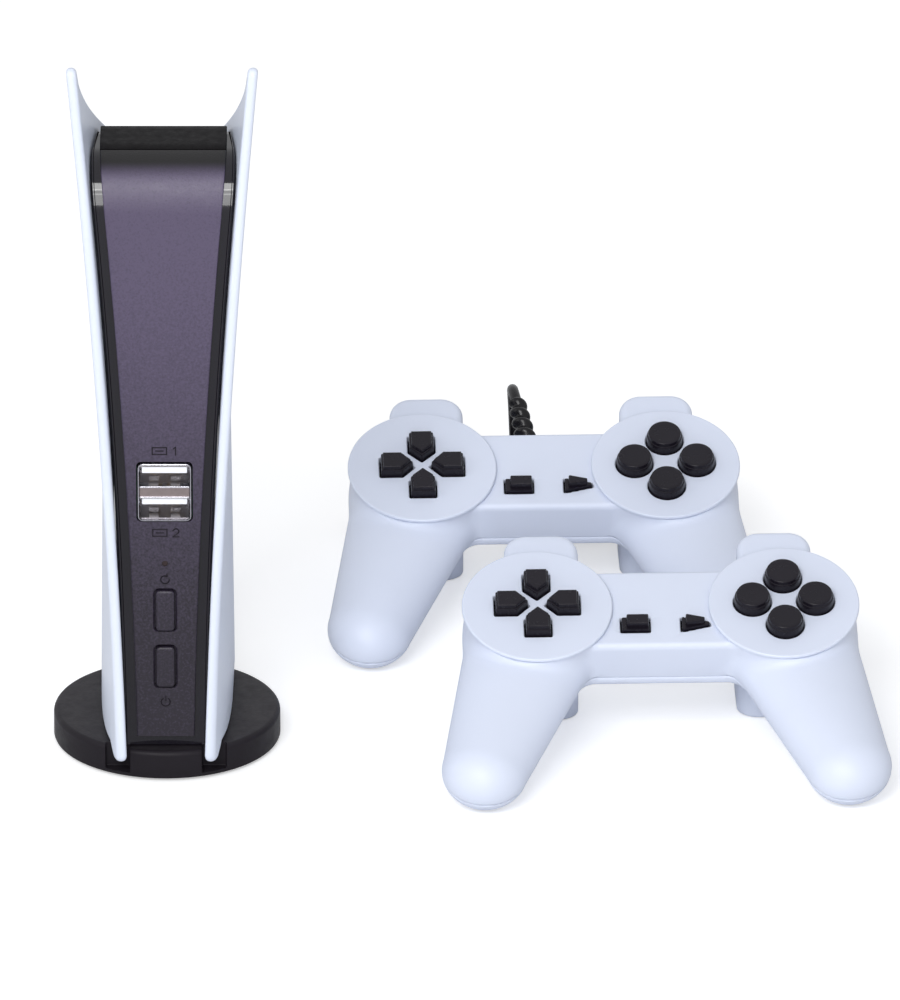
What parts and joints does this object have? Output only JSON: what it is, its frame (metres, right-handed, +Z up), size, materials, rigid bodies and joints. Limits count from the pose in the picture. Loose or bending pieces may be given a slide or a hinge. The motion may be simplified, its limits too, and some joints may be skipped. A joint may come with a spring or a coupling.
{
  "type": "game console with controller",
  "caption": "Slim upright game console with flared side panels on a round stand, and wired controllers with direction keys, round buttons, grips and shoulder keys.",
  "frame": {"origin": "centre of the underside of the console's foot pad, on the table", "axes": "+Z up, front of the console and of both controllers towards -Y, controllers towards +X"},
  "size_m": [0.2251, 0.2234, 0.209],
  "materials": {
    "white_plastic": "satin",
    "pad_white": "satin, slightly bluish",
    "cover_plastic": "fine matte",
    "gloss_black": "polished",
    "stand_plastic": "semi-gloss",
    "black_key": "semi-gloss",
    "rubber": "matte",
    "steel": "nickel-plated",
    "board_green": "solder mask",
    "white_insulator": "satin",
    "chip_black": "matte",
    "lamp_clear": "clear, unlit"
  },
  "bodies": {
    "console": {"left_side_panel": "white_plastic", "right_side_panel": "white_plastic", "rear_housing": "gloss_black", "front_cover": "cover_plastic", "top_cap": "cover_plastic", "stand_disc": "stand_plastic", "foot_pad": "rubber", "stand_screw": "steel", "main_board": "board_green", "main_chip": "chip_black", "usb_shell": "steel", "usb_tongue_lower": "white_insulator", "usb_tongue_upper": "white_insulator", "reset_switch": "chip_black", "power_switch": "chip_black", "power_lamp": "lamp_clear", "av_jack": "chip_black", "power_jack": "steel"},
    "reset_button": {"reset_button": "cover_plastic"},
    "power_button": {"power_button": "cover_plastic"},
    "rear_controller": {"rear_top_shell": "pad_white", "rear_bottom_shell": "pad_white", "rear_circuit_board": "board_green", "rear_key_membrane": "rubber", "rear_case_screw": "steel", "rear_strain_relief": "rubber", "rear_cord": "rubber", "rear_cord_coil": "rubber", "rear_plug_lead": "rubber", "rear_plug_body": "rubber", "rear_plug_shell": "steel"},
    "rear_direction_pivot": {"rear_direction_pivot": "black_key"},
    "rear_direction_keys": {"rear_direction_keys": "black_key"},
    "rear_button_right": {"rear_button_right": "black_key"},
    "rear_button_up": {"rear_button_up": "black_key"},
    "rear_button_left": {"rear_button_left": "black_key"},
    "rear_button_down": {"rear_button_down": "black_key"},
    "rear_select_key": {"rear_select_key": "black_key"},
    "rear_start_key": {"rear_start_key": "black_key"},
    "rear_left_upper_shoulder_key": {"rear_left_upper_shoulder_key": "pad_white"},
    "rear_left_lower_shoulder_key": {"rear_left_lower_shoulder_key": "pad_white"},
    "rear_right_upper_shoulder_key": {"rear_right_upper_shoulder_key": "pad_white"},
    "rear_right_lower_shoulder_key": {"rear_right_lower_shoulder_key": "pad_white"},
    "front_controller": {"front_top_shell": "pad_white", "front_bottom_shell": "pad_white", "front_circuit_board": "board_green", "front_key_membrane": "rubber", "front_case_screw": "steel"},
    "front_direction_pivot": {"front_direction_pivot": "black_key"},
    "front_direction_keys": {"front_direction_keys": "black_key"},
    "front_button_right": {"front_button_right": "black_key"},
    "front_button_up": {"front_button_up": "black_key"},
    "front_button_left": {"front_button_left": "black_key"},
    "front_button_down": {"front_button_down": "black_key"},
    "front_select_key": {"front_select_key": "black_key"},
    "front_start_key": {"front_start_key": "black_key"},
    "front_left_upper_shoulder_key": {"front_left_upper_shoulder_key": "pad_white"},
    "front_left_lower_shoulder_key": {"front_left_lower_shoulder_key": "pad_white"},
    "front_right_upper_shoulder_key": {"front_right_upper_shoulder_key": "pad_white"},
    "front_right_lower_shoulder_key": {"front_right_lower_shoulder_key": "pad_white"}
  },
  "joints": [
    {"name": "reset_button_press", "type": "slide", "parent": "console", "child": "reset_button", "axis": [0, 1, 0], "range_m": [0, 0.001], "stiffness_N_per_m": 400, "springref_m": -0.0005},
    {"name": "power_button_press", "type": "slide", "parent": "console", "child": "power_button", "axis": [0, 1, 0], "range_m": [0, 0.001], "stiffness_N_per_m": 400, "springref_m": -0.0005},
    {"name": "rear_controller_lift", "type": "slide", "parent": "console", "child": "rear_controller", "axis": [0, 0, 1], "range_m": [0, 0.12]},
    {"name": "rear_direction_pitch", "type": "hinge", "parent": "rear_controller", "child": "rear_direction_pivot", "pos_m": [0.06856, 0.09084, 0.03503], "axis": [0.9994, 0.0349, 0], "range_deg": [-3.5, 3.5], "stiffness_Nm_per_rad": 0.1},
    {"name": "rear_direction_roll", "type": "hinge", "parent": "rear_direction_pivot", "child": "rear_direction_keys", "pos_m": [0.06856, 0.09084, 0.03503], "axis": [-0.0324, 0.9266, 0.3746], "range_deg": [-3.5, 3.5], "stiffness_Nm_per_rad": 0.1},
    {"name": "rear_button_right_press", "type": "slide", "parent": "rear_controller", "child": "rear_button_right", "axis": [-0.0131, 0.3744, -0.9272], "range_m": [0, 0.0016], "stiffness_N_per_m": 300, "springref_m": -0.0005},
    {"name": "rear_button_up_press", "type": "slide", "parent": "rear_controller", "child": "rear_button_up", "axis": [-0.0131, 0.3744, -0.9272], "range_m": [0, 0.0016], "stiffness_N_per_m": 300, "springref_m": -0.0005},
    {"name": "rear_button_left_press", "type": "slide", "parent": "rear_controller", "child": "rear_button_left", "axis": [-0.0131, 0.3744, -0.9272], "range_m": [0, 0.0016], "stiffness_N_per_m": 300, "springref_m": -0.0005},
    {"name": "rear_button_down_press", "type": "slide", "parent": "rear_controller", "child": "rear_button_down", "axis": [-0.0131, 0.3744, -0.9272], "range_m": [0, 0.0016], "stiffness_N_per_m": 300, "springref_m": -0.0005},
    {"name": "rear_select_key_press", "type": "slide", "parent": "rear_controller", "child": "rear_select_key", "axis": [-0.0131, 0.3744, -0.9272], "range_m": [0, 0.001], "stiffness_N_per_m": 300, "springref_m": -0.0005},
    {"name": "rear_start_key_press", "type": "slide", "parent": "rear_controller", "child": "rear_start_key", "axis": [-0.0131, 0.3744, -0.9272], "range_m": [0, 0.001], "stiffness_N_per_m": 300, "springref_m": -0.0005},
    {"name": "rear_left_upper_shoulder_key_press", "type": "slide", "parent": "rear_controller", "child": "rear_left_upper_shoulder_key", "axis": [0.0324, -0.9266, -0.3746], "range_m": [0, 0.0016], "stiffness_N_per_m": 300, "springref_m": -0.0005},
    {"name": "rear_left_lower_shoulder_key_press", "type": "slide", "parent": "rear_controller", "child": "rear_left_lower_shoulder_key", "axis": [0.0324, -0.9266, -0.3746], "range_m": [0, 0.0016], "stiffness_N_per_m": 300, "springref_m": -0.0005},
    {"name": "rear_right_upper_shoulder_key_press", "type": "slide", "parent": "rear_controller", "child": "rear_right_upper_shoulder_key", "axis": [0.0324, -0.9266, -0.3746], "range_m": [0, 0.0016], "stiffness_N_per_m": 300, "springref_m": -0.0005},
    {"name": "rear_right_lower_shoulder_key_press", "type": "slide", "parent": "rear_controller", "child": "rear_right_lower_shoulder_key", "axis": [0.0324, -0.9266, -0.3746], "range_m": [0, 0.0016], "stiffness_N_per_m": 300, "springref_m": -0.0005},
    {"name": "front_controller_lift", "type": "slide", "parent": "console", "child": "front_controller", "axis": [0, 0, 1], "range_m": [0, 0.12]},
    {"name": "front_direction_pitch", "type": "hinge", "parent": "front_controller", "child": "front_direction_pivot", "pos_m": [0.09956, -0.00096, 0.03503], "axis": [0.9994, 0.0349, 0], "range_deg": [-3.5, 3.5], "stiffness_Nm_per_rad": 0.1},
    {"name": "front_direction_roll", "type": "hinge", "parent": "front_direction_pivot", "child": "front_direction_keys", "pos_m": [0.09956, -0.00096, 0.03503], "axis": [-0.0324, 0.9266, 0.3746], "range_deg": [-3.5, 3.5], "stiffness_Nm_per_rad": 0.1},
    {"name": "front_button_right_press", "type": "slide", "parent": "front_controller", "child": "front_button_right", "axis": [-0.0131, 0.3744, -0.9272], "range_m": [0, 0.0016], "stiffness_N_per_m": 300, "springref_m": -0.0005},
    {"name": "front_button_up_press", "type": "slide", "parent": "front_controller", "child": "front_button_up", "axis": [-0.0131, 0.3744, -0.9272], "range_m": [0, 0.0016], "stiffness_N_per_m": 300, "springref_m": -0.0005},
    {"name": "front_button_left_press", "type": "slide", "parent": "front_controller", "child": "front_button_left", "axis": [-0.0131, 0.3744, -0.9272], "range_m": [0, 0.0016], "stiffness_N_per_m": 300, "springref_m": -0.0005},
    {"name": "front_button_down_press", "type": "slide", "parent": "front_controller", "child": "front_button_down", "axis": [-0.0131, 0.3744, -0.9272], "range_m": [0, 0.0016], "stiffness_N_per_m": 300, "springref_m": -0.0005},
    {"name": "front_select_key_press", "type": "slide", "parent": "front_controller", "child": "front_select_key", "axis": [-0.0131, 0.3744, -0.9272], "range_m": [0, 0.001], "stiffness_N_per_m": 300, "springref_m": -0.0005},
    {"name": "front_start_key_press", "type": "slide", "parent": "front_controller", "child": "front_start_key", "axis": [-0.0131, 0.3744, -0.9272], "range_m": [0, 0.001], "stiffness_N_per_m": 300, "springref_m": -0.0005},
    {"name": "front_left_upper_shoulder_key_press", "type": "slide", "parent": "front_controller", "child": "front_left_upper_shoulder_key", "axis": [0.0324, -0.9266, -0.3746], "range_m": [0, 0.0016], "stiffness_N_per_m": 300, "springref_m": -0.0005},
    {"name": "front_left_lower_shoulder_key_press", "type": "slide", "parent": "front_controller", "child": "front_left_lower_shoulder_key", "axis": [0.0324, -0.9266, -0.3746], "range_m": [0, 0.0016], "stiffness_N_per_m": 300, "springref_m": -0.0005},
    {"name": "front_right_upper_shoulder_key_press", "type": "slide", "parent": "front_controller", "child": "front_right_upper_shoulder_key", "axis": [0.0324, -0.9266, -0.3746], "range_m": [0, 0.0016], "stiffness_N_per_m": 300, "springref_m": -0.0005},
    {"name": "front_right_lower_shoulder_key_press", "type": "slide", "parent": "front_controller", "child": "front_right_lower_shoulder_key", "axis": [0.0324, -0.9266, -0.3746], "range_m": [0, 0.0016], "stiffness_N_per_m": 300, "springref_m": -0.0005}
  ]
}
